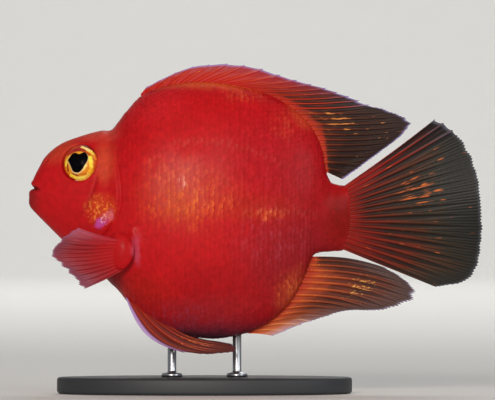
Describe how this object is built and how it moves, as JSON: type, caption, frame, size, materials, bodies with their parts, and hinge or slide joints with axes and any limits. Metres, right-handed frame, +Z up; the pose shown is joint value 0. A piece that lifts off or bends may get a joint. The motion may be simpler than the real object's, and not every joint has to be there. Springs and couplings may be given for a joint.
{
  "type": "blood parrot cichlid",
  "caption": "Life-size still model of a deep-bodied red blood parrot cichlid with rayed fins, hovering over an oval display base on short rods.",
  "frame": {"origin": "centre of the bounding box's bottom, in the plane that the base stands on", "axes": "+X from the snout to the tail, +Y from the fish's left side to its right side, +Z up"},
  "size_m": [0.1816, 0.066, 0.1319],
  "materials": {
    "skin": "wet fish skin, deep red with an orange-gold sheen on the scales of the flank and a darker crimson belly",
    "fin": "thin moist membrane, red at the root and smoky towards the edge, with orange rays and violet-white margins",
    "eye": "golden iris with an orange inner ring and a black pupil under a clear wet cornea",
    "plate": "matt charcoal powder coat",
    "rod": "fine brushed"
  },
  "bodies": {
    "root": {"head": "skin", "torso": "skin", "tail_stalk": "skin", "back_fin": "fin", "tail_fin": "fin", "vent_fin": "fin", "breast_fin_left": "fin", "breast_fin_right": "fin", "belly_fin_left": "fin", "belly_fin_right": "fin", "eye_left": "eye", "eye_right": "eye", "stand_base": "plate", "stand_rod_front": "rod", "stand_rod_rear": "rod"}
  },
  "joints": []
}
